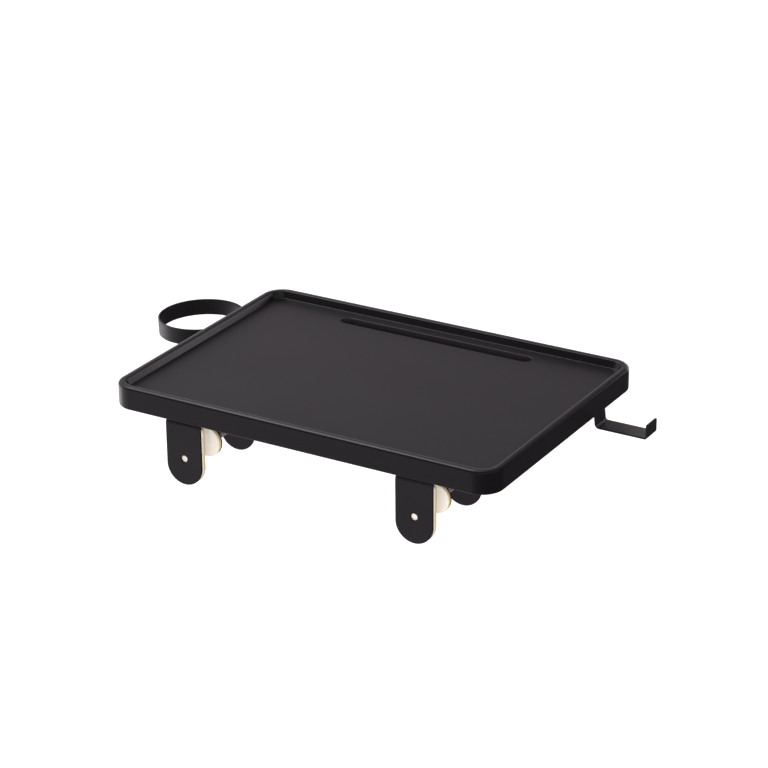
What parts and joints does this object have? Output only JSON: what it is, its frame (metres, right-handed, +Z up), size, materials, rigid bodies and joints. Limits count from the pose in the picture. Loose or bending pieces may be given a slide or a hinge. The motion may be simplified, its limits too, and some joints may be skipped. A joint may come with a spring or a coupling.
{
  "type": "bedside shelf tray",
  "caption": "Black lacquered tray with a raised rim and a tablet slot that clamps onto a bed rail with screwed brackets, and carries a cup ring and a hook at its sides.",
  "frame": {"origin": "centre of the tray's floor, on its upper surface", "axes": "+X right along the tray's long front edge, +Y from the clamps to the back edge, +Z up"},
  "size_m": [0.4587, 0.24, 0.0725],
  "materials": {
    "tray_lacquer": "satin black lacquer over faint grain",
    "black_steel": "fine satin powder coat",
    "cream_pad": "matt",
    "plated_steel": "bright zinc plate",
    "black_plastic": "fine moulded grain"
  },
  "bodies": {
    "tray": {"tray_board": "tray_lacquer", "left_clamp_bracket": "black_steel", "left_fixed_jaw_pad": "cream_pad", "left_weld_nut": "black_steel", "left_bracket_screw_1": "plated_steel", "left_bracket_screw_2": "plated_steel", "left_bracket_screw_3": "plated_steel", "left_bracket_screw_4": "plated_steel", "right_clamp_bracket": "black_steel", "right_fixed_jaw_pad": "cream_pad", "right_weld_nut": "black_steel", "right_bracket_screw_1": "plated_steel", "right_bracket_screw_2": "plated_steel", "right_bracket_screw_3": "plated_steel", "right_bracket_screw_4": "plated_steel", "cup_ring": "black_steel", "cup_ring_bracket": "black_steel", "cup_ring_screw_1": "plated_steel", "cup_ring_screw_2": "plated_steel", "hook": "black_steel", "hook_screw_1": "plated_steel", "hook_screw_2": "plated_steel"},
    "left_jaw": {"left_pressure_disc": "black_steel", "left_pressure_pad": "cream_pad"},
    "left_screw": {"left_clamp_screw": "plated_steel", "left_knob": "black_plastic"},
    "right_jaw": {"right_pressure_disc": "black_steel", "right_pressure_pad": "cream_pad"},
    "right_screw": {"right_clamp_screw": "plated_steel", "right_knob": "black_plastic"}
  },
  "joints": [
    {"name": "left_jaw_slide", "type": "slide", "parent": "tray", "child": "left_jaw", "axis": [0, 1, 0], "range_m": [-0.0236, 0.0318]},
    {"name": "left_screw_turn", "type": "hinge", "parent": "left_jaw", "child": "left_screw", "pos_m": [-0.103, -0.0125, -0.0421], "axis": [0, 1, 0], "range_deg": [-6797, 9159]},
    {"name": "right_jaw_slide", "type": "slide", "parent": "tray", "child": "right_jaw", "axis": [0, 1, 0], "range_m": [-0.0236, 0.0318]},
    {"name": "right_screw_turn", "type": "hinge", "parent": "right_jaw", "child": "right_screw", "pos_m": [0.103, -0.0125, -0.0421], "axis": [0, 1, 0], "range_deg": [-6797, 9159]}
  ],
  "couplings": [
    {"joint": "left_screw_turn", "follows": "left_jaw_slide", "rad_per_m": 5026.5},
    {"joint": "right_screw_turn", "follows": "right_jaw_slide", "rad_per_m": 5026.5}
  ]
}
